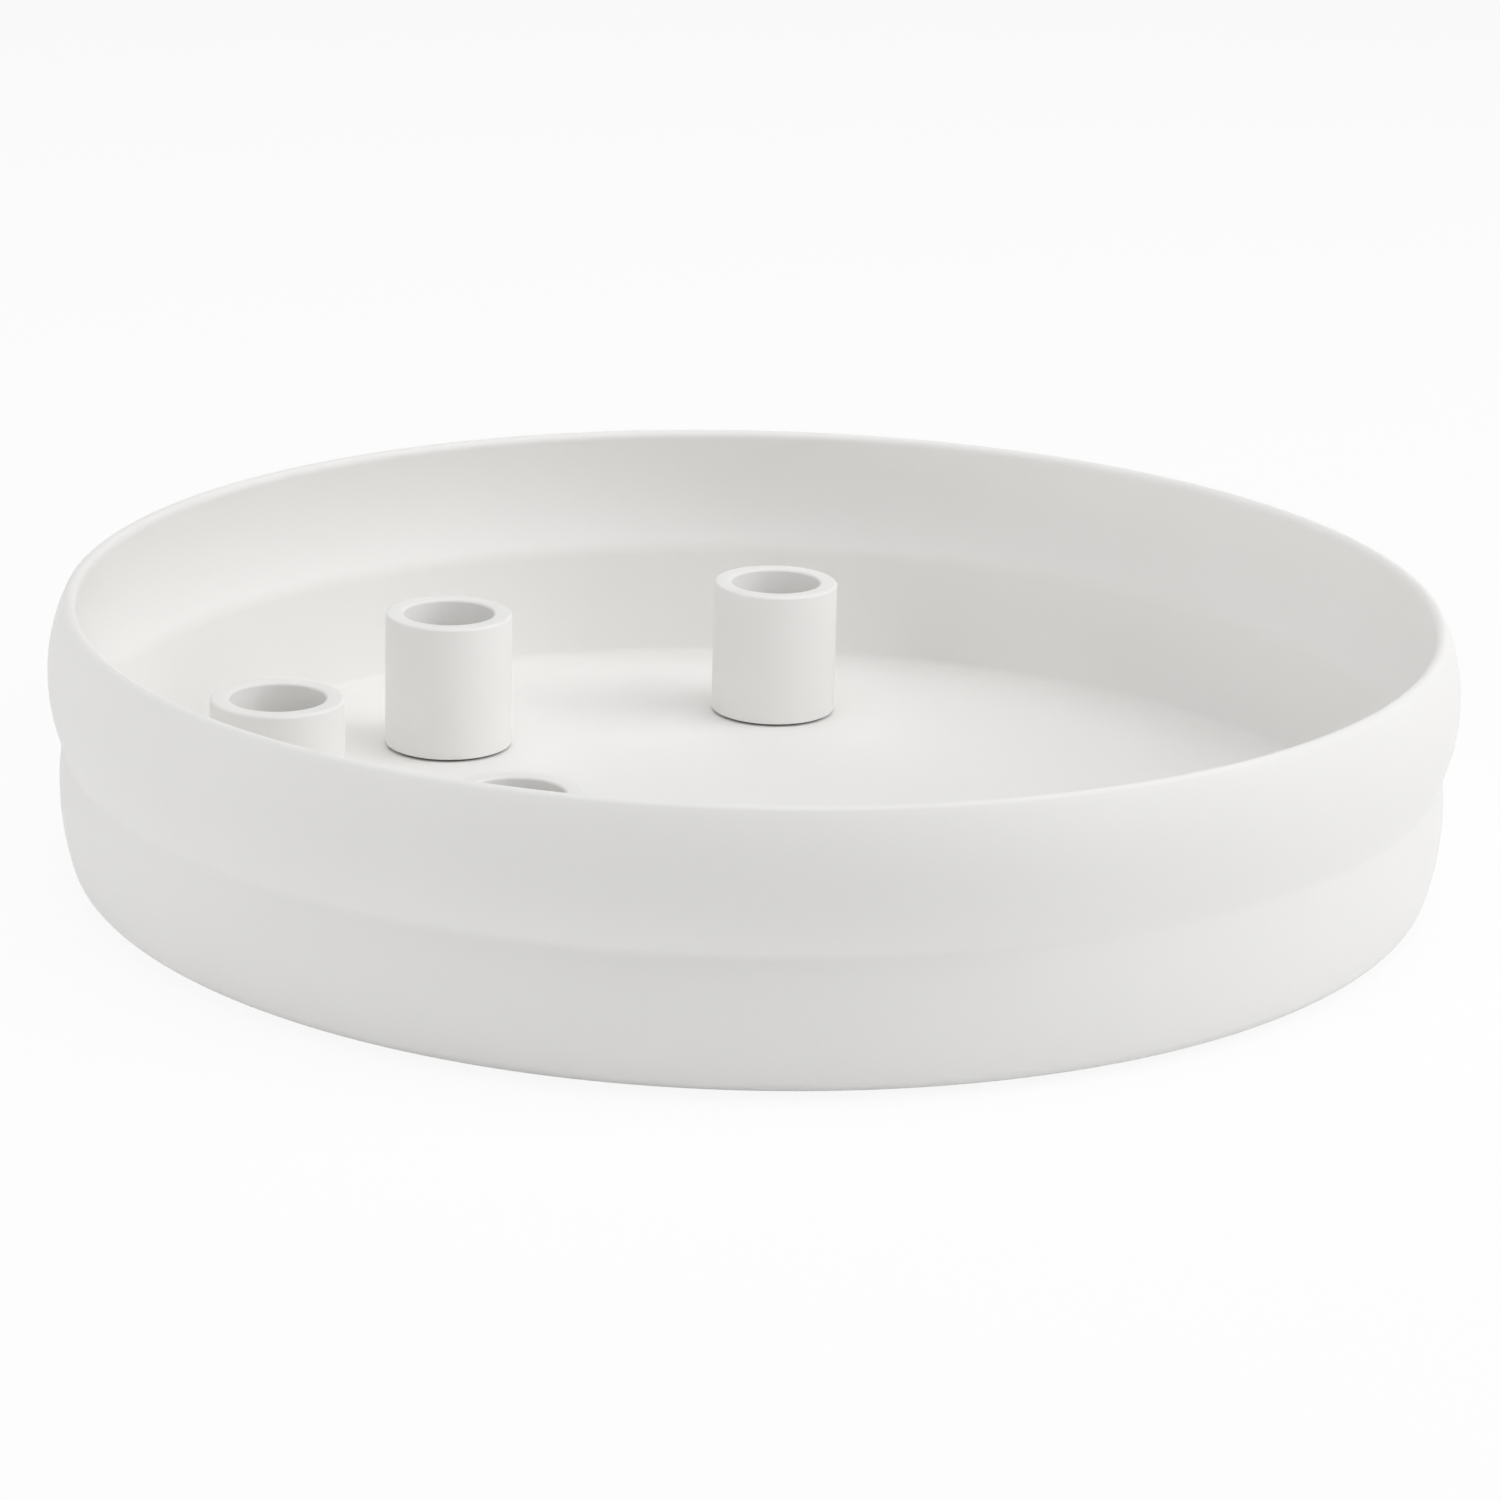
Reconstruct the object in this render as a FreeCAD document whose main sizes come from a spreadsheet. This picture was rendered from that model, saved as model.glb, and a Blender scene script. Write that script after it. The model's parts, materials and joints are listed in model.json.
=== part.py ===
"""Candle plate: a spun steel dish with four loose magnetic candle cups.

Millimetres, +Z up. The origin is under the dish's centre, on the surface that its felt pads stand on.
The dish is one sheet of constant thickness, turned from a profile of tangent arcs: flat floor, tight
base corner, lower bulge, waist, upper bulge and a full round lip. Each cup is a turned piece with a
blind candle bore above and a magnet seat below, and stands on a thin pad.
"""
import FreeCAD
import Part
import Sketcher
import math
import os

# driving sizes
SIZES = (
    # the dish
    ("dish_diameter", 330.0, "widest point of the upper bulge"),
    ("dish_height", 63.6, "underside of the dish to the crest of its lip"),
    ("sheet_thickness", 3.2, "painted steel sheet"),
    ("upper_bulge_height", 46.7, "underside to the widest point of the upper bulge"),
    ("upper_bulge_radius", 37.0, "profile arc of the upper bulge, outside"),
    ("lower_bulge_inset", 2.3, "how far the lower bulge stands back from the upper one"),
    ("lower_bulge_height", 20.3, "underside to the widest point of the lower bulge"),
    ("lower_bulge_radius", 58.0, "profile arc of the lower bulge, outside"),
    ("waist_radius", 4.5, "hollow arc of the waist between the bulges, outside"),
    ("base_corner_radius", 5.0, "outside arc from the wall into the flat base"),
    # the felt pads under the dish
    ("foot_pad_diameter", 18.0, "felt disc"),
    ("foot_pad_thickness", 1.2, "felt disc"),
    ("foot_pad_setback", 5.0, "edge of the flat base to the edge of a felt disc"),
    ("foot_pad_angle", 45.0, "direction of the first felt disc from +X, degrees"),
    # the candle cups
    ("cup_diameter", 31.6, "outside of a cup"),
    ("cup_height", 33.8, "a cup without its pad"),
    ("candle_diameter", 22.0, "standard candle that the bore takes"),
    ("candle_clearance", 0.3, "gap round the candle in the bore"),
    ("bore_depth", 24.0, "lip of the cup to the bottom of the bore"),
    ("bore_bottom_bevel", 1.0, "bevel between the bore's wall and bottom"),
    ("cup_lip_outer_round", 0.8, "outer edge of the cup's lip"),
    ("cup_lip_inner_round", 0.7, "edge of the bore's mouth"),
    ("cup_foot_bevel", 0.5, "outer edge of the cup's foot"),
    ("magnet_diameter", 20.0, "disc magnet"),
    ("magnet_thickness", 4.0, "disc magnet"),
    ("magnet_edge_bevel", 0.3, "bevel on both edges of the magnet"),
    ("magnet_clearance", 0.05, "glue gap round the magnet in its seat"),
    ("cup_pad_thickness", 0.6, "thin pad under a cup"),
    ("cup_pad_setback", 1.1, "edge of the cup to the edge of its pad"),
    # where the cups stand: direction from +X in degrees, and distance from the centre as a share of
    # the farthest that a cup can stand on the flat floor
    ("left_cup_angle", 184.4, "direction of the left cup"),
    ("left_cup_share", 0.802, "how far out it stands"),
    ("rear_left_cup_angle", 138.6, "direction of the rear left cup"),
    ("rear_left_cup_share", 0.731, "how far out it stands"),
    ("rear_cup_angle", 87.3, "direction of the rear cup"),
    ("rear_cup_share", 0.749, "how far out it stands"),
    ("front_cup_angle", 235.6, "direction of the front cup"),
    ("front_cup_share", 0.662, "how far out it stands"),
)
CUPS = ("left", "rear_left", "rear", "front")
FOOT_PAD_COUNT = 4
FULL_TURN = 360.0
MATCH = 1e-6

# heights of what stands on the dish floor
FLOOR = "Sizes.foot_pad_thickness + Sizes.sheet_thickness"
CUP_BASE = FLOOR + " + Sizes.cup_pad_thickness"
# radius of the flat part of the base and floor, and how far out on it a felt disc and a cup can go
FLAT = "dish_profile.Constraints.flat_radius / 1 mm"
FOOT_PAD_REACH = FLAT + " - Sizes.foot_pad_setback - Sizes.foot_pad_diameter / 2"
CUP_REACH = FLAT + " - Sizes.cup_diameter / 2"

doc = FreeCAD.newDocument("candle_plate")
size = {}


# helpers
def fill_sheet():
    """Write every driving size into the sheet, one row each, under its alias."""
    sheet = doc.addObject("Spreadsheet::Sheet", "Sizes")
    for row, (alias, number, note) in enumerate(SIZES, 1):
        size[alias] = number
        sheet.set("A%d" % row, alias)
        sheet.set("B%d" % row, repr(number))
        sheet.setAlias("B%d" % row, alias)
        sheet.set("C%d" % row, note)


def new_body(name):
    body = doc.addObject("PartDesign::Body", name)
    body.Label = name
    return body


def new_sketch(body, name, role):
    """Start a sketch on one of the body's own origin planes."""
    sketch = body.newObject("Sketcher::SketchObject", name)
    plane = next(item for item in body.Origin.OriginFeatures if item.Role == role)
    sketch.AttachmentSupport = [(plane, "")]
    sketch.MapMode = "FlatFace"
    return sketch


def drive(sketch, name, formula, constraint):
    """Add a named dimension to a sketch and bind it to the sheet."""
    index = sketch.addConstraint(constraint)
    sketch.renameConstraint(index, name)
    sketch.setExpression("Constraints." + name, formula)


def disc_sketch(body, name, diameter, height=None):
    """Sketch a circle round the body's axis, at a height above its base."""
    sketch = new_sketch(body, name, "XY_Plane")
    start = size["cup_diameter"]
    sketch.addGeometry(Part.Circle(FreeCAD.Vector(), FreeCAD.Vector(0, 0, 1), start / 2))
    sketch.addConstraint(Sketcher.Constraint("Coincident", 0, 3, -1, 1))
    drive(sketch, "diameter", diameter, Sketcher.Constraint("Diameter", 0, start))
    if height:
        sketch.setExpression("AttachmentOffset.Base.z", height)
    return sketch


def add_pad(body, name, diameter, length):
    """Raise a round disc from the body's base."""
    pad = body.newObject("PartDesign::Pad", name)
    pad.Profile = disc_sketch(body, name + "_sketch", diameter)
    pad.setExpression("Length", length)
    return pad


def add_pocket(body, name, diameter, depth, height=None):
    """Sink a round pocket: down from a height, or up from the body's base."""
    pocket = body.newObject("PartDesign::Pocket", name)
    pocket.Profile = disc_sketch(body, name + "_sketch", diameter, height)
    pocket.setExpression("Length", depth)
    pocket.Reversed = height is None
    return pocket


def ring_edges(feature, radius, height):
    """Name the level circular edges of a feature that have this radius and height."""
    names = []
    for index, edge in enumerate(feature.Shape.Edges, 1):
        curve = edge.Curve
        if not isinstance(curve, Part.Circle):
            continue
        if abs(curve.Radius - radius) < MATCH and abs(curve.Center.z - height) < MATCH:
            names.append("Edge%d" % index)
    return names


def dress_edges(body, kind, name, base, rings, formula):
    """Round or bevel the rings of a feature, each given as its radius and height."""
    doc.recompute()
    names = [edge for radius, height in rings for edge in ring_edges(base, radius, height)]
    if len(names) != len(rings):
        raise RuntimeError("%s: %d of %d edges found" % (name, len(names), len(rings)))
    dressed = body.newObject(kind, name)
    dressed.Base = (base, names)
    dressed.setExpression("Size" if kind.endswith("Chamfer") else "Radius", formula)
    return dressed


def stand_at(body, reach, angle, height):
    """Place a body by its distance and direction from the centre, and its height."""
    body.setExpression("Placement.Base.x", "(%s) * cos(%s)" % (reach, angle))
    body.setExpression("Placement.Base.y", "(%s) * sin(%s)" % (reach, angle))
    body.setExpression("Placement.Base.z", height)


# the dish
def outer_crossing(first, first_radius, second, second_radius):
    """The crossing of two circles that lies farther from the dish's axis."""
    across = second - first
    gap = across.Length
    along = (gap ** 2 + first_radius ** 2 - second_radius ** 2) / (2 * gap)
    side = math.sqrt(first_radius ** 2 - along ** 2)
    unit = across / gap
    foot = first + unit * along
    normal = FreeCAD.Vector(unit.y, -unit.x, 0)
    return max(foot + normal * side, foot - normal * side, key=lambda spot: spot.x)


def heading(start, end):
    """Direction from one point to another, in radians."""
    return math.atan2(end.y - start.y, end.x - start.x)


def arc(centre, radius, start, end):
    circle = Part.Circle(centre, FreeCAD.Vector(0, 0, 1), radius)
    return Part.ArcOfCircle(circle, start, end)


def draw_wall(sketch):
    """Draw the half section of the dish from tangent arcs, near its final shape."""
    sheet = size["sheet_thickness"]
    corner_radius = size["base_corner_radius"]
    lower_radius = size["lower_bulge_radius"]
    waist_radius = size["waist_radius"]
    upper_radius = size["upper_bulge_radius"]
    widest = size["dish_diameter"] / 2
    upper = FreeCAD.Vector(widest - upper_radius, size["upper_bulge_height"], 0)
    lower = FreeCAD.Vector(widest - size["lower_bulge_inset"] - lower_radius, size["lower_bulge_height"], 0)
    waist = outer_crossing(lower, lower_radius + waist_radius, upper, upper_radius + waist_radius)
    corner_drop = lower.y - corner_radius
    corner_out = math.sqrt((lower_radius - corner_radius) ** 2 - corner_drop ** 2)
    corner = FreeCAD.Vector(lower.x + corner_out, corner_radius, 0)
    lip_rise = size["dish_height"] - sheet / 2 - upper.y
    lip_angle = math.asin(lip_rise / (upper_radius - sheet / 2))
    lip = upper + FreeCAD.Vector(math.cos(lip_angle), math.sin(lip_angle), 0) * (upper_radius - sheet / 2)
    down = -math.pi / 2
    corner_top = heading(lower, corner)
    lower_top = heading(lower, waist)
    upper_foot = heading(upper, waist)
    origin = FreeCAD.Vector()
    floor = FreeCAD.Vector(0, sheet, 0)
    sketch.addGeometry([
        Part.LineSegment(origin, FreeCAD.Vector(corner.x, 0, 0)),
        arc(corner, corner_radius, down, corner_top),
        arc(lower, lower_radius, corner_top, lower_top),
        arc(waist, waist_radius, upper_foot + math.pi, lower_top + math.pi),
        arc(upper, upper_radius, upper_foot, lip_angle),
        arc(lip, sheet / 2, lip_angle, lip_angle + math.pi),
        arc(upper, upper_radius - sheet, upper_foot, lip_angle),
        arc(waist, waist_radius + sheet, upper_foot + math.pi, lower_top + math.pi),
        arc(lower, lower_radius - sheet, corner_top, lower_top),
        arc(corner, corner_radius - sheet, down, corner_top),
        Part.LineSegment(FreeCAD.Vector(corner.x, sheet, 0), floor),
        Part.LineSegment(floor, origin),
    ], False)


def tie_wall(sketch):
    """Tie the half section together: tangent joints, shared centres and driven sizes."""
    (under, corner, lower, waist, upper, lip,
     upper_in, waist_in, lower_in, corner_in, floor, axis) = range(12)
    start, end, centre = 1, 2, 3
    joints = (
        (under, end, corner, start), (corner, end, lower, start), (lower, end, waist, end),
        (waist, start, upper, start), (upper, end, lip, start), (lip, end, upper_in, end),
        (upper_in, start, waist_in, start), (waist_in, end, lower_in, end),
        (lower_in, start, corner_in, end), (corner_in, start, floor, start),
    )
    for joint in joints:
        sketch.addConstraint(Sketcher.Constraint("Tangent", *joint))
    for outside, inside in ((corner, corner_in), (lower, lower_in), (waist, waist_in), (upper, upper_in)):
        sketch.addConstraint(Sketcher.Constraint("Coincident", inside, centre, outside, centre))
    sketch.addConstraint(Sketcher.Constraint("Coincident", floor, end, axis, start))
    sketch.addConstraint(Sketcher.Constraint("Coincident", axis, end, under, start))
    sketch.addConstraint(Sketcher.Constraint("Coincident", under, start, -1, 1))
    sketch.addConstraint(Sketcher.Constraint("Horizontal", under))
    sketch.addConstraint(Sketcher.Constraint("Horizontal", floor))
    sketch.addConstraint(Sketcher.Constraint("Vertical", axis))

    def radius(name, item, formula):
        drive(sketch, name, formula, Sketcher.Constraint("Radius", item, size[formula.split(".")[1]]))

    def across(name, item, formula):
        spot = sketch.getPoint(item, centre)
        drive(sketch, name, formula, Sketcher.Constraint("DistanceX", -1, 1, item, centre, spot.x))

    def above(name, item, formula, place=centre):
        spot = sketch.getPoint(item, place)
        drive(sketch, name, formula, Sketcher.Constraint("DistanceY", -1, 1, item, place, spot.y))

    radius("corner_radius", corner, "Sizes.base_corner_radius")
    radius("lower_radius", lower, "Sizes.lower_bulge_radius")
    radius("waist_radius", waist, "Sizes.waist_radius")
    radius("upper_radius", upper, "Sizes.upper_bulge_radius")
    widest = "Sizes.dish_diameter / 2"
    across("lower_centre", lower, widest + " - Sizes.lower_bulge_inset - Sizes.lower_bulge_radius")
    across("upper_centre", upper, widest + " - Sizes.upper_bulge_radius")
    above("lower_height", lower, "Sizes.lower_bulge_height")
    above("upper_height", upper, "Sizes.upper_bulge_height")
    above("lip_height", lip, "Sizes.dish_height - Sizes.sheet_thickness / 2")
    above("floor_height", floor, "Sizes.sheet_thickness", end)
    reach = sketch.getPoint(under, end).x
    flat = sketch.addConstraint(Sketcher.Constraint("DistanceX", -1, 1, under, end, reach))
    sketch.setDriving(flat, False)
    sketch.renameConstraint(flat, "flat_radius")


def make_dish():
    """Turn the double-bulged half section into the dish."""
    body = new_body("dish")
    sketch = new_sketch(body, "dish_profile", "XZ_Plane")
    draw_wall(sketch)
    tie_wall(sketch)
    doc.recompute()
    turned = body.newObject("PartDesign::Revolution", "dish_turned")
    turned.Profile = sketch
    turned.ReferenceAxis = (sketch, ["V_Axis"])
    turned.Angle = FULL_TURN
    body.setExpression("Placement.Base.z", "Sizes.foot_pad_thickness")
    return body


def make_foot_pad(number):
    """One felt disc under the dish, near the edge of its flat base."""
    body = new_body("foot_pad_%d" % number)
    add_pad(body, "felt_%d" % number, "Sizes.foot_pad_diameter", "Sizes.foot_pad_thickness")
    angle = "Sizes.foot_pad_angle + %r" % ((number - 1) * FULL_TURN / FOOT_PAD_COUNT)
    stand_at(body, FOOT_PAD_REACH, angle, "0")
    return body


# a candle cup and what it holds
def make_cup(name):
    """A turned cup: candle bore from above, magnet seat from below, rounded lip, bevelled foot."""
    body = new_body(name + "_cup")
    bore = "Sizes.candle_diameter + 2 * Sizes.candle_clearance"
    seat = "Sizes.magnet_diameter + 2 * Sizes.magnet_clearance"
    add_pad(body, name + "_blank", "Sizes.cup_diameter", "Sizes.cup_height")
    add_pocket(body, name + "_bore", bore, "Sizes.bore_depth", "Sizes.cup_height")
    hollowed = add_pocket(body, name + "_seat", seat, "Sizes.magnet_thickness")
    outer_radius = size["cup_diameter"] / 2
    bore_radius = size["candle_diameter"] / 2 + size["candle_clearance"]
    top = size["cup_height"]
    bottom = top - size["bore_depth"]
    edges = (
        ("PartDesign::Fillet", "lip_outer_round", outer_radius, top),
        ("PartDesign::Fillet", "lip_inner_round", bore_radius, top),
        ("PartDesign::Chamfer", "foot_bevel", outer_radius, 0),
    )
    for kind, label, radius, height in edges:
        ring = ((radius, height),)
        hollowed = dress_edges(body, kind, name + "_" + label, hollowed, ring, "Sizes.cup_" + label)
    ring = ((bore_radius, bottom),)
    dress_edges(body, "PartDesign::Chamfer", name + "_bore_bevel", hollowed, ring, "Sizes.bore_bottom_bevel")
    return body


def make_magnet(name):
    """The disc magnet that fills the seat in the cup's foot."""
    body = new_body(name + "_magnet")
    disc = add_pad(body, name + "_disc", "Sizes.magnet_diameter", "Sizes.magnet_thickness")
    rings = [(size["magnet_diameter"] / 2, height) for height in (0, size["magnet_thickness"])]
    dress_edges(body, "PartDesign::Chamfer", name + "_disc_bevel", disc, rings, "Sizes.magnet_edge_bevel")
    return body


def make_cup_pad(name):
    """The thin pad between the cup and the dish, a little smaller than the cup."""
    body = new_body(name + "_cup_pad")
    add_pad(body, name + "_pad", "Sizes.cup_diameter - 2 * Sizes.cup_pad_setback", "Sizes.cup_pad_thickness")
    return body


def make_cup_set(name):
    """A cup with its magnet and pad, standing at its place on the dish floor."""
    heights = {make_cup(name): CUP_BASE, make_magnet(name): CUP_BASE, make_cup_pad(name): FLOOR}
    reach = "(%s) * Sizes.%s_cup_share" % (CUP_REACH, name)
    for body, height in heights.items():
        stand_at(body, reach, "Sizes.%s_cup_angle" % name, height)
    return list(heights)


# build, check and write
def check(bodies):
    """Stop if any object failed, or any sub-part has no sound solid."""
    for item in doc.Objects:
        if "Invalid" in item.State or "Error" in item.State:
            raise RuntimeError("%s failed: %s" % (item.Name, item.State))
    for body in bodies:
        shape = body.Shape
        if shape.isNull() or not shape.isValid() or len(shape.Solids) != 1:
            raise RuntimeError("%s has no sound solid" % body.Label)


def write(bodies):
    os.makedirs("parts", exist_ok=True)
    for body in bodies:
        body.Shape.exportStep(os.path.join("parts", body.Label + ".step"))
        box = body.Shape.BoundBox
        print("%-16s volume %10.1f  z %6.2f to %6.2f" % (body.Label, body.Shape.Volume, box.ZMin, box.ZMax))


fill_sheet()
doc.recompute()
pieces = [make_dish()]
pieces += [make_foot_pad(number) for number in range(1, FOOT_PAD_COUNT + 1)]
for cup in CUPS:
    pieces += make_cup_set(cup)
doc.recompute()
check(pieces)
write(pieces)
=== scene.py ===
"""Candle plate: finishes, floor, light and camera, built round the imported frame.

Metres, +Z up. The dish and the cups are turned again from half sections of arcs and lines, to the
frame's sizes but much finer. The felt and rubber discs get their real soft edges.
"""
import bpy
import json
import math
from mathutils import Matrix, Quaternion, Vector, noise


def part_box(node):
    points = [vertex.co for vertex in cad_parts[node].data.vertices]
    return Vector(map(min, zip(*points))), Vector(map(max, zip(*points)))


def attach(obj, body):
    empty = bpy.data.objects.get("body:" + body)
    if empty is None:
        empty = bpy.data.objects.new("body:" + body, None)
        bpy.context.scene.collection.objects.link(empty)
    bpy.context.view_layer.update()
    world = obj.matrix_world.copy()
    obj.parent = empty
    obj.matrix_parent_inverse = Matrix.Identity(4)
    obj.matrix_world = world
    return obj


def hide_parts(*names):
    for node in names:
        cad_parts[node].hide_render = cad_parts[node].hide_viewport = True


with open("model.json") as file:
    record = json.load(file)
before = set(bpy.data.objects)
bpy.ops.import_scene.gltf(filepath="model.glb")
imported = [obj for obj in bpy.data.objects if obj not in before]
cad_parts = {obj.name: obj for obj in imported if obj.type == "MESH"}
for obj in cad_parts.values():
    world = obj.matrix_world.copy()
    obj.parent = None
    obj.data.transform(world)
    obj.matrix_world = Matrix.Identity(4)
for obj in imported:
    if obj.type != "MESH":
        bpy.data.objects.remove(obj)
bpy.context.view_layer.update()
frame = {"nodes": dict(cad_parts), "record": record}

CUPS = ("left", "rear_left", "rear", "front")
FOOT_PADS = ("foot_pad_1", "foot_pad_2", "foot_pad_3", "foot_pad_4")
TINY = 1e-7
MM_IN_METRE = 1000

# the dish's half section
SHEET = 0.0032
LOWER_BULGE = {"inset": 0.0023, "height": 0.0203, "radius": 0.058}
UPPER_BULGE = {"inset": 0.0, "height": 0.0467, "radius": 0.037}
WAIST_RADIUS = 0.0045
BASE_CORNER_RADIUS = 0.005

# a cup's edges
LIP_OUTER_ROUND = 0.0008
LIP_INNER_ROUND = 0.0007
FOOT_ROUND = 0.0005
BORE_BOTTOM_ROUND = 0.001
MAGNET_GLUE_GAP = 0.00005

# the soft discs; the wool is fractal noise
PAD_EDGE_ROUND = 0.00022
FELT_EDGE_ROUND = 0.00045
FELT_FUZZ = 0.00012
FELT_FUZZ_SIZE = 0.0006
FELT_FUZZ_ROUGHNESS = 0.8
FELT_FUZZ_FINENESS = 2.0
FELT_FUZZ_OCTAVES = 3
FELT_FUZZ_GAIN = 1.6

# how finely things are turned
DISH_STEPS = 288
CUP_STEPS = 128
DISC_STEPS = 160
DISH_RINGS = 16
FELT_RINGS = 24
PAD_RINGS = 6
ARC_STEP = math.radians(2.5)
SMALL_ARC_STEP = math.radians(11)
BASE_CORNER_STEP = SMALL_ARC_STEP / 2
SHARP_EDGE = math.radians(40)

# the finishes: colours, and heights of relief in metres
COAT = (0.906, 0.90, 0.888)
COAT_SHADE = (0.896, 0.89, 0.876)
RUBBER = (0.10, 0.095, 0.09)
RUBBER_DUST = (0.17, 0.165, 0.155)
FELT = (0.62, 0.61, 0.59)
FELT_SHADE = (0.45, 0.44, 0.42)
NICKEL = (0.70, 0.68, 0.64)
NICKEL_SHADE = [part * 0.94 for part in NICKEL]
COAT_PEEL_HEIGHT = 0.000006
COAT_GRAIN_HEIGHT = 0.000004
RUBBER_HEIGHT = 0.00003
FELT_HEIGHT = 0.0002
NICKEL_HEIGHT = 0.000002

# every noise: its roughness, and the range in which most of its values lie
NOISE_ROUGHNESS = 0.55
NOISE_LOW = 0.3
NOISE_HIGH = 0.7

# the floor: its colour, and how much whiter the camera sees it
FLOOR = (0.95, 0.95, 0.95, 1)
FLOOR_PALER = 0.9
FLOOR_REACH = 4.0

# the lamps: azimuth and elevation in degrees, distance, width and height in metres, power in watts
LIT_SPOT = Vector((0, 0, 0.03))
LAMPS = (
    ("key", 330, 48, 1.8, 0.5, 0.5, 1.5),
    ("top", 0, 90, 2.0, 1.5, 1.5, 15.7),
    ("middle_right", 0, 50, 2.0, 1.2, 1.2, 8.3),
    ("middle_back", 90, 50, 2.0, 1.2, 1.2, 3.6),
    ("middle_left", 180, 50, 2.0, 1.2, 1.2, 2.7),
    ("low_right", 0, 22, 2.0, 1.2, 1.0, 10.6),
    ("low_front_left", 225, 22, 2.0, 1.2, 1.0, 5.6),
    ("low_front", 270, 22, 2.0, 1.2, 1.0, 3.4),
    ("low_front_right", 315, 22, 2.0, 1.2, 1.0, 4.6),
    ("low_left", 180, 8, 2.0, 1.5, 0.5, 9.2),
)

# the camera of the photograph
EYE = Vector((0.0, -1.0935, 0.37083))
LOOK_DOWN = math.radians(17.499)
LOOK_LEFT = math.radians(0.0283)
CAMERA_ROLL = math.radians(1.4805)
LENS_MM = 116.09
SENSOR_MM = 36.0


# half sections
def arc(centre, radius, start, end, step=ARC_STEP):
    """Points along an arc of a half section, both ends included; angles in radians."""
    count = max(3, math.ceil(abs(end - start) / step))
    turns = [start + (end - start) * index / count for index in range(count + 1)]
    return [centre + Vector((math.cos(turn), math.sin(turn))) * radius for turn in turns]


def level(start, end, height, count):
    """Points along a level line of a half section, without its last end."""
    return [Vector((start + (end - start) * index / count, height)) for index in range(count)]


def heading(start, end):
    return math.atan2(end.y - start.y, end.x - start.x)


def bulge_centre(bulge, widest, base):
    return Vector((widest - bulge["inset"] - bulge["radius"], base + bulge["height"]))


def waist_centre(lower, lower_reach, upper, upper_reach):
    """Centre of the hollow arc that touches both bulges from outside."""
    across = upper - lower
    gap = across.length
    along = (gap ** 2 + lower_reach ** 2 - upper_reach ** 2) / (2 * gap)
    side = math.sqrt(lower_reach ** 2 - along ** 2)
    unit = across / gap
    return lower + unit * along + Vector((unit.y, -unit.x)) * side


def dish_section(low, high):
    """The dish from the centre of its base, out, up over the lip and back to the centre of its floor."""
    widest, base = high.x, low.z
    lower = bulge_centre(LOWER_BULGE, widest, base)
    upper = bulge_centre(UPPER_BULGE, widest, base)
    lower_radius, upper_radius = LOWER_BULGE["radius"], UPPER_BULGE["radius"]
    waist = waist_centre(lower, lower_radius + WAIST_RADIUS, upper, upper_radius + WAIST_RADIUS)
    corner_height = base + BASE_CORNER_RADIUS
    corner_out = math.sqrt((lower_radius - BASE_CORNER_RADIUS) ** 2 - (lower.y - corner_height) ** 2)
    corner = Vector((lower.x + corner_out, corner_height))
    lip_rise = high.z - SHEET / 2 - upper.y
    lip_angle = math.asin(lip_rise / (upper_radius - SHEET / 2))
    lip = upper + Vector((math.cos(lip_angle), math.sin(lip_angle))) * (upper_radius - SHEET / 2)
    corner_top = heading(lower, corner)
    lower_top = heading(lower, waist)
    upper_foot = heading(upper, waist)
    down = -math.pi / 2
    outside = (
        arc(corner, BASE_CORNER_RADIUS, down, corner_top, BASE_CORNER_STEP)
        + arc(lower, lower_radius, corner_top, lower_top)[1:]
        + arc(waist, WAIST_RADIUS, lower_top + math.pi, upper_foot + math.pi)[1:]
        + arc(upper, upper_radius, upper_foot, lip_angle)[1:]
        + arc(lip, SHEET / 2, lip_angle, lip_angle + math.pi, SMALL_ARC_STEP)[1:]
    )
    inside = (
        arc(upper, upper_radius - SHEET, lip_angle, upper_foot)[1:]
        + arc(waist, WAIST_RADIUS + SHEET, upper_foot + math.pi, lower_top + math.pi)[1:]
        + arc(lower, lower_radius - SHEET, lower_top, corner_top)[1:]
        + arc(corner, BASE_CORNER_RADIUS - SHEET, corner_top, down, SMALL_ARC_STEP)[1:]
    )
    underside = level(0, corner.x, base, DISH_RINGS)
    floor = level(corner.x, 0, base + SHEET, DISH_RINGS)[1:] + [Vector((0, base + SHEET))]
    return underside + outside + inside + floor


def cup_section(low, high, bore, seat):
    """A cup from the ceiling of its magnet seat, round the foot, up over the lip and down the bore.

    Bore and seat are each a radius and the height of the hole's end.
    """
    right = math.pi / 2
    foot = Vector(((high.x - low.x) / 2 - FOOT_ROUND, low.z + FOOT_ROUND))
    outer_lip = Vector(((high.x - low.x) / 2 - LIP_OUTER_ROUND, high.z - LIP_OUTER_ROUND))
    inner_lip = Vector((bore.x + LIP_INNER_ROUND, high.z - LIP_INNER_ROUND))
    bottom = Vector((bore.x - BORE_BOTTOM_ROUND, bore.y + BORE_BOTTOM_ROUND))
    return (
        [Vector((0, seat.y)), seat, Vector((seat.x, low.z))]
        + arc(foot, FOOT_ROUND, -right, 0, SMALL_ARC_STEP)
        + arc(outer_lip, LIP_OUTER_ROUND, 0, right, SMALL_ARC_STEP)
        + arc(inner_lip, LIP_INNER_ROUND, right, 2 * right, SMALL_ARC_STEP)
        + arc(bottom, BORE_BOTTOM_ROUND, 0, -right, SMALL_ARC_STEP)
        + [Vector((0, bore.y))]
    )


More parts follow.
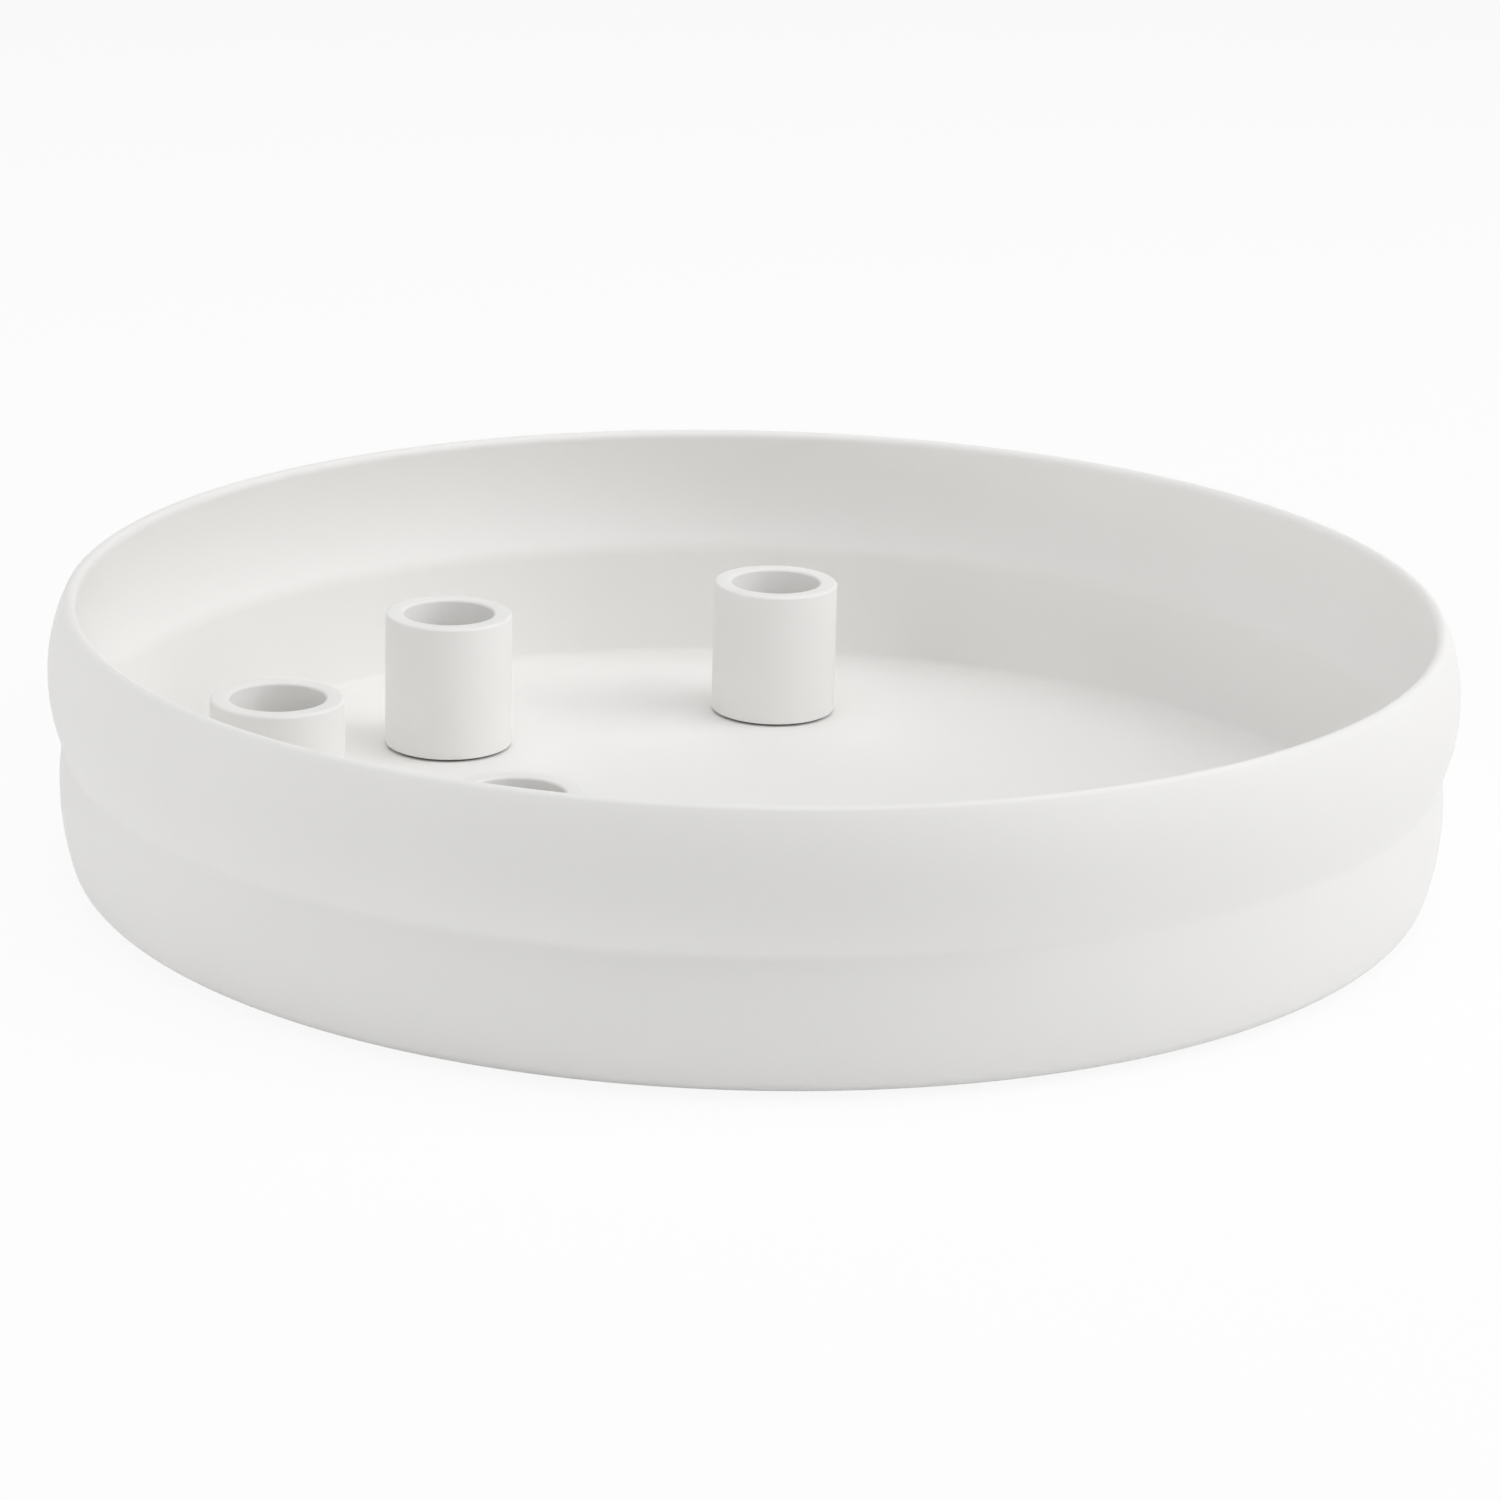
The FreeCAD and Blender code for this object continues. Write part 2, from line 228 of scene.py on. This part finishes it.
def disc_section(low, high, edge_round, rings):
    """A flat disc with rounded edges, from the centre of its underside to the centre of its top."""
    right = math.pi / 2
    low_edge = Vector(((high.x - low.x) / 2 - edge_round, low.z + edge_round))
    high_edge = Vector((low_edge.x, high.z - edge_round))
    return (
        level(0, low_edge.x, low.z, rings)
        + arc(low_edge, edge_round, -right, 0, SMALL_ARC_STEP)
        + arc(high_edge, edge_round, 0, right, SMALL_ARC_STEP)
        + level(high_edge.x, 0, high.z, rings)[1:]
        + [Vector((0, high.z))]
    )


# meshes
def middle(low, high):
    return (low + high) / 2


def turned(name, section, spot, steps):
    """Turn a half section round the upright axis through a spot; a point on the axis closes the form."""
    points, rings, faces = [], [], []
    for out, height in section:
        count = 1 if out < TINY else steps
        rings.append(range(len(points), len(points) + count))
        for index in range(count):
            turn = 2 * math.pi * index / count
            points.append((spot.x + out * math.cos(turn), spot.y + out * math.sin(turn), height))
    for ring, following in zip(rings, rings[1:]):
        for index in range(steps):
            after = (index + 1) % steps
            corners = (ring[index % len(ring)], ring[after % len(ring)],
                       following[after % len(following)], following[index % len(following)])
            faces.append(list(dict.fromkeys(corners)))
    mesh = bpy.data.meshes.new(name)
    mesh.from_pydata(points, [], faces)
    mesh.shade_smooth()
    mesh.set_sharp_from_angle(angle=SHARP_EDGE)
    piece = bpy.data.objects.new(name, mesh)
    bpy.context.scene.collection.objects.link(piece)
    return piece


def roughen(piece, low, high):
    """Make a felt disc's surface woolly. Points move inwards only, so that it stays in its space."""
    centre = middle(low, high)
    for vertex in piece.data.vertices:
        wool = abs(noise.fractal(
            vertex.co / FELT_FUZZ_SIZE, FELT_FUZZ_ROUGHNESS, FELT_FUZZ_FINENESS, FELT_FUZZ_OCTAVES
        ))
        inward = (centre - vertex.co).normalized()
        vertex.co += inward * FELT_FUZZ * min(1.0, wool * FELT_FUZZ_GAIN)


# materials
class Recipe:
    """A node material, with short helpers to add its nodes and link them."""

    def __init__(self, name, **looks):
        self.material = bpy.data.materials.new(name)
        self.material.use_nodes = True
        self.tree = self.material.node_tree
        self.shader = self.tree.nodes["Principled BSDF"]
        self.place = self.add("ShaderNodeTexCoord").outputs["Object"]
        for socket, value in looks.items():
            self.shader.inputs[socket.replace("_", " ")].default_value = value

    def add(self, kind, **values):
        """Add a node; the values name its sockets, with an underscore for a space."""
        node = self.tree.nodes.new(kind)
        for socket, value in values.items():
            node.inputs[socket.replace("_", " ")].default_value = value
        return node

    def link(self, source, target):
        self.tree.links.new(source, target)

    def grain(self, size, detail=2.0):
        """Noise whose features have about this size in metres."""
        cloud = self.add("ShaderNodeTexNoise", Scale=1 / size, Detail=detail, Roughness=NOISE_ROUGHNESS)
        self.link(self.place, cloud.inputs["Vector"])
        return cloud.outputs["Fac"]

    def between(self, noise_value, first, last):
        """Spread noise, which mostly lies near the middle, between two values."""
        spread = self.add(
            "ShaderNodeMapRange", From_Min=NOISE_LOW, From_Max=NOISE_HIGH, To_Min=first, To_Max=last
        )
        self.link(noise_value, spread.inputs["Value"])
        return spread.outputs["Result"]

    def colour(self, noise_value, first, second):
        """Let a noise choose between two colours."""
        ramp = self.tree.nodes.new("ShaderNodeValToRGB")
        ramp.color_ramp.elements[0].color = (*first, 1)
        ramp.color_ramp.elements[1].color = (*second, 1)
        self.link(self.between(noise_value, 0, 1), ramp.inputs["Fac"])
        self.link(ramp.outputs["Color"], self.shader.inputs["Base Color"])

    def roughness(self, noise_value, least, most):
        self.link(self.between(noise_value, least, most), self.shader.inputs["Roughness"])

    def relief(self, *layers):
        """Raise the surface by noises, each with its greatest height in metres."""
        below = None
        for noise_value, height in layers:
            raised = self.add("ShaderNodeBump", Distance=height)
            self.link(noise_value, raised.inputs["Height"])
            if below:
                self.link(below, raised.inputs["Normal"])
            below = raised.outputs["Normal"]
        self.link(below, self.shader.inputs["Normal"])


def powder_coat(name):
    """Matt white powder coat: a faint cloudiness, soft orange peel and a very fine grain."""
    coat = Recipe(name, Specular_IOR_Level=0.35)
    coat.colour(coat.grain(size=0.045, detail=3), COAT, COAT_SHADE)
    coat.roughness(coat.grain(size=0.012), least=0.60, most=0.68)
    coat.relief(
        (coat.grain(size=0.0016), COAT_PEEL_HEIGHT),
        (coat.grain(size=0.00035, detail=3), COAT_GRAIN_HEIGHT),
    )
    return coat.material


def rubber():
    """Thin dark rubber with a little white dust on it."""
    skin = Recipe("dark_rubber", Specular_IOR_Level=0.4)
    skin.colour(skin.grain(size=0.003, detail=4), RUBBER, RUBBER_DUST)
    skin.roughness(skin.grain(size=0.001), least=0.75, most=0.9)
    skin.relief((skin.grain(size=0.0004, detail=3), RUBBER_HEIGHT))
    return skin.material


def felt():
    """Off-white pressed wool."""
    wool = Recipe("wool_felt", Specular_IOR_Level=0.2, Sheen_Weight=0.4, Sheen_Roughness=0.5)
    wool.colour(wool.grain(size=0.0008, detail=5), FELT, FELT_SHADE)
    wool.roughness(wool.grain(size=0.002), least=0.9, most=1.0)
    wool.relief((wool.grain(size=0.0005, detail=5), FELT_HEIGHT))
    return wool.material


def nickel():
    """Bright nickel plating with a faint haze."""
    plate = Recipe("nickel_plating", Metallic=1.0)
    plate.colour(plate.grain(size=0.004, detail=3), NICKEL, NICKEL_SHADE)
    plate.roughness(plate.grain(size=0.0015, detail=4), least=0.18, most=0.3)
    plate.relief((plate.grain(size=0.0003, detail=3), NICKEL_HEIGHT))
    return plate.material


def coat_with(piece, material):
    piece.data.materials.clear()
    piece.data.materials.append(material)


def stand_in(piece, node, body, material):
    """Show a piece in place of a node of the frame."""
    coat_with(piece, material)
    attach(piece, body)
    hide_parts(node)


# the object
def make_dish(material):
    low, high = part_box("dish")
    dish = turned("dish_turned", dish_section(low, high), middle(low, high), DISH_STEPS)
    stand_in(dish, "dish", "plate", material)


def make_foot_pads(material):
    for node in FOOT_PADS:
        low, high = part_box(node)
        section = disc_section(low, high, FELT_EDGE_ROUND, FELT_RINGS)
        pad = turned(node + "_felt", section, middle(low, high), DISC_STEPS)
        roughen(pad, low, high)
        stand_in(pad, node, "plate", material)


def bore_of(name):
    """Radius of a cup's candle bore, and the height of its bottom."""
    mounts = {mount["name"]: mount for mount in frame["record"]["mounts"]}
    bore = mounts[name + "_candle_bore"]
    radius = bore["dims"]["r_mm"] / MM_IN_METRE
    wall = bore["dims"]["length_mm"] / MM_IN_METRE
    bottom = bore["pos_m"][2] - wall / 2 - BORE_BOTTOM_ROUND
    return Vector((radius, bottom))


def make_cup(name, materials):
    """A cup and its pad, on the body that lifts off, and the magnet's plating."""
    body = name + "_candle_cup"
    low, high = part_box(name + "_cup")
    magnet_low, magnet_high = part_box(name + "_magnet")
    seat = Vector(((magnet_high.x - magnet_low.x) / 2 + MAGNET_GLUE_GAP, magnet_high.z))
    spot = middle(low, high)
    cup = turned(name + "_cup_turned", cup_section(low, high, bore_of(name), seat), spot, CUP_STEPS)
    stand_in(cup, name + "_cup", body, materials["cup"])
    low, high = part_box(name + "_cup_pad")
    pad_section = disc_section(low, high, PAD_EDGE_ROUND, PAD_RINGS)
    pad = turned(name + "_cup_pad_disc", pad_section, spot, CUP_STEPS)
    stand_in(pad, name + "_cup_pad", body, materials["pad"])
    magnet = frame["nodes"][name + "_magnet"]
    coat_with(magnet, materials["magnet"])


# floor, light and camera
def seen_directly(tree):
    """1 for what the camera sees, by itself or in a reflection, and 0 for light that reaches the object."""
    path = tree.nodes.new("ShaderNodeLightPath")
    share = path.outputs["Is Camera Ray"]
    for ray in ("Is Glossy Ray", "Is Transmission Ray"):
        either = tree.nodes.new("ShaderNodeMath")
        either.operation = "MAXIMUM"
        tree.links.new(share, either.inputs[0])
        tree.links.new(path.outputs[ray], either.inputs[1])
        share = either.outputs["Value"]
    return share


def make_floor():
    """A plain white floor. The camera sees it paler than it is, with a faint shadow of the object."""
    corners = [(-FLOOR_REACH, -FLOOR_REACH, 0), (FLOOR_REACH, -FLOOR_REACH, 0),
               (FLOOR_REACH, FLOOR_REACH, 0), (-FLOOR_REACH, FLOOR_REACH, 0)]
    mesh = bpy.data.meshes.new("floor")
    mesh.from_pydata(corners, [], [(0, 1, 2, 3)])
    floor = bpy.data.objects.new("floor", mesh)
    bpy.context.scene.collection.objects.link(floor)
    material = bpy.data.materials.new("white_floor")
    material.use_nodes = True
    tree = material.node_tree
    tree.nodes.clear()
    matt = tree.nodes.new("ShaderNodeBsdfDiffuse")
    matt.inputs["Color"].default_value = FLOOR
    white = tree.nodes.new("ShaderNodeEmission")
    paler = tree.nodes.new("ShaderNodeMath")
    paler.operation = "MULTIPLY"
    paler.inputs[1].default_value = FLOOR_PALER
    mix = tree.nodes.new("ShaderNodeMixShader")
    output = tree.nodes.new("ShaderNodeOutputMaterial")
    tree.links.new(seen_directly(tree), paler.inputs[0])
    tree.links.new(paler.outputs["Value"], mix.inputs["Fac"])
    tree.links.new(matt.outputs["BSDF"], mix.inputs[1])
    tree.links.new(white.outputs["Emission"], mix.inputs[2])
    tree.links.new(mix.outputs["Shader"], output.inputs["Surface"])
    mesh.materials.append(material)


def make_camera():
    data = bpy.data.cameras.new("camera")
    data.lens = LENS_MM
    data.sensor_width = SENSOR_MM
    camera = bpy.data.objects.new("camera", data)
    bpy.context.scene.collection.objects.link(camera)
    ahead = Vector((
        -math.sin(LOOK_LEFT) * math.cos(LOOK_DOWN),
        math.cos(LOOK_LEFT) * math.cos(LOOK_DOWN),
        -math.sin(LOOK_DOWN),
    ))
    camera.location = EYE
    camera.rotation_mode = "QUATERNION"
    camera.rotation_quaternion = ahead.to_track_quat("-Z", "Y") @ Quaternion((0, 0, 1), CAMERA_ROLL)
    bpy.context.scene.camera = camera


def make_lamp(name, azimuth, elevation, distance, width, height, power):
    """A soft lamp that faces the object; azimuth from +X towards +Y, angles in degrees, power in watts."""
    data = bpy.data.lights.new(name, "AREA")
    data.shape = "RECTANGLE"
    data.size = width
    data.size_y = height
    data.energy = power
    lamp = bpy.data.objects.new(name, data)
    level_way = Vector((math.cos(math.radians(azimuth)), math.sin(math.radians(azimuth)), 0))
    rise = math.radians(elevation)
    way = level_way * math.cos(rise) + Vector((0, 0, math.sin(rise)))
    lamp.location = LIT_SPOT + way * distance
    lamp.rotation_mode = "QUATERNION"
    lamp.rotation_quaternion = (-way).to_track_quat("-Z", "Y")
    bpy.context.scene.collection.objects.link(lamp)


def make_world():
    """White where the camera or a reflection sees it. It puts no light of its own on matt surfaces."""
    world = bpy.data.worlds.new("studio")
    world.use_nodes = True
    tree = world.node_tree
    background = tree.nodes["Background"]
    background.inputs["Color"].default_value = (1, 1, 1, 1)
    tree.links.new(seen_directly(tree), background.inputs["Strength"])
    bpy.context.scene.world = world


def make_light():
    make_world()
    for lamp in LAMPS:
        make_lamp(*lamp)


powder = powder_coat("dish_powder_coat")
cup_materials = {"cup": powder_coat("cup_powder_coat"), "pad": rubber(), "magnet": nickel()}
make_dish(powder)
make_foot_pads(felt())
for cup_name in CUPS:
    make_cup(cup_name, cup_materials)
make_floor()
make_light()
make_camera()
bpy.context.scene.view_settings.view_transform = "Standard"
